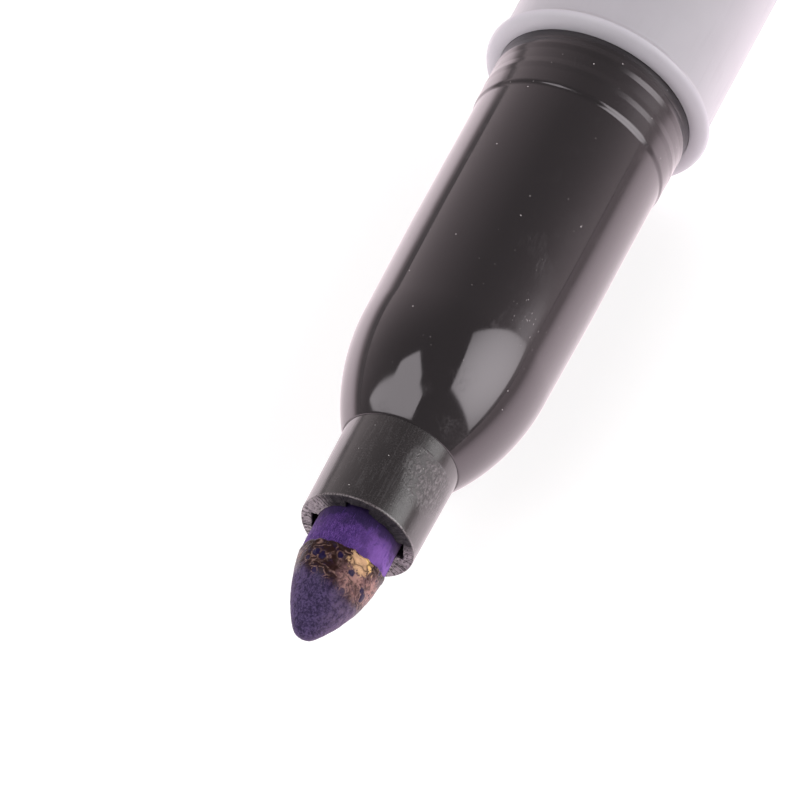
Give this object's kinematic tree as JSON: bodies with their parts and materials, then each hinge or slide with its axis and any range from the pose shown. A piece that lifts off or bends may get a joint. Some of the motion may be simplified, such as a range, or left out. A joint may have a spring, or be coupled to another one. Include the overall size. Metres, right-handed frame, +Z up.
{
  "type": "skin marker",
  "caption": "Fibre-tip skin marker on its side: grey lipped barrel, black domed front section, vented collar with a violet bullet nib, inner ink reservoir, and a clip cap posted on the tail.",
  "frame": {"origin": "on the table under the middle of the marker as it lies on its side, halfway between the nib's tip and the cap's crown", "axes": "+X along the marker from the cap to the nib, +Z up from the table, and the clip lies on the -Y side with its lower edge on the table"},
  "size_m": [0.1548, 0.0142, 0.012],
  "materials": {
    "barrel_grey": "satin moulded polypropylene, light grey with a violet cast",
    "section_black": "gloss moulded polypropylene, black, with dust and fine scratches",
    "collar_black": "satin moulded polypropylene, black, scuffed, with a rough cut front",
    "nib_violet": "bonded fibre, soaked with violet ink, with a crust of dried ink",
    "reservoir_fibre": "drawn fibre rod, soaked with violet ink",
    "film_clear": "thin clear film",
    "tube_natural": "extruded natural plastic",
    "cap_black": "gloss moulded polypropylene, black",
    "seal_natural": "natural moulded polyethylene"
  },
  "bodies": {
    "marker": {"barrel": "barrel_grey", "tail_plug": "barrel_grey", "front_section": "section_black", "nib_collar": "collar_black", "nib": "nib_violet", "ink_reservoir": "reservoir_fibre", "reservoir_film": "film_clear", "breather_tube": "tube_natural"},
    "cap": {"cap_shell": "cap_black", "cap_liner": "seal_natural"},
    "clip": {"pocket_clip": "cap_black"}
  },
  "joints": [
    {"name": "cap_pull", "type": "slide", "parent": "marker", "child": "cap", "axis": [-1, 0, 0], "range_m": [0, 0.032]},
    {"name": "clip_flex", "type": "hinge", "parent": "cap", "child": "clip", "pos_m": [-0.0742, -0.00522, 0.0022], "axis": [0, 0.5166, -0.8562], "range_deg": [0, 5], "stiffness_Nm_per_rad": 0.08}
  ]
}
